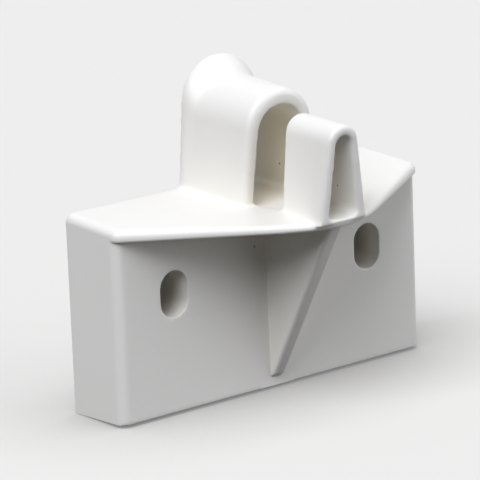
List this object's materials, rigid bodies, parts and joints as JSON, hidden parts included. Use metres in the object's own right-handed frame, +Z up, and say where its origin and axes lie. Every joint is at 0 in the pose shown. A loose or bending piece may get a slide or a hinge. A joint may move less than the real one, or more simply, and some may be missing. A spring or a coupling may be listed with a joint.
{
  "type": "door holder",
  "caption": "Wall-mounted door holder moulded in white plastic: a hollow housing with slotted screw holes, a pointed plate on a rib, a large arch and a small loop.",
  "frame": {"origin": "on the wall plane, in the middle between the two screw slots", "axes": "+X runs along the wall through both slot centres, the widest direction; +Y points into the wall; +Z is up, so the tip of the plate points toward -Y"},
  "size_m": [0.075, 0.0381, 0.0644],
  "materials": {
    "white_plastic": "satin moulded"
  },
  "bodies": {
    "root": {"door_holder": "white_plastic"}
  },
  "joints": []
}
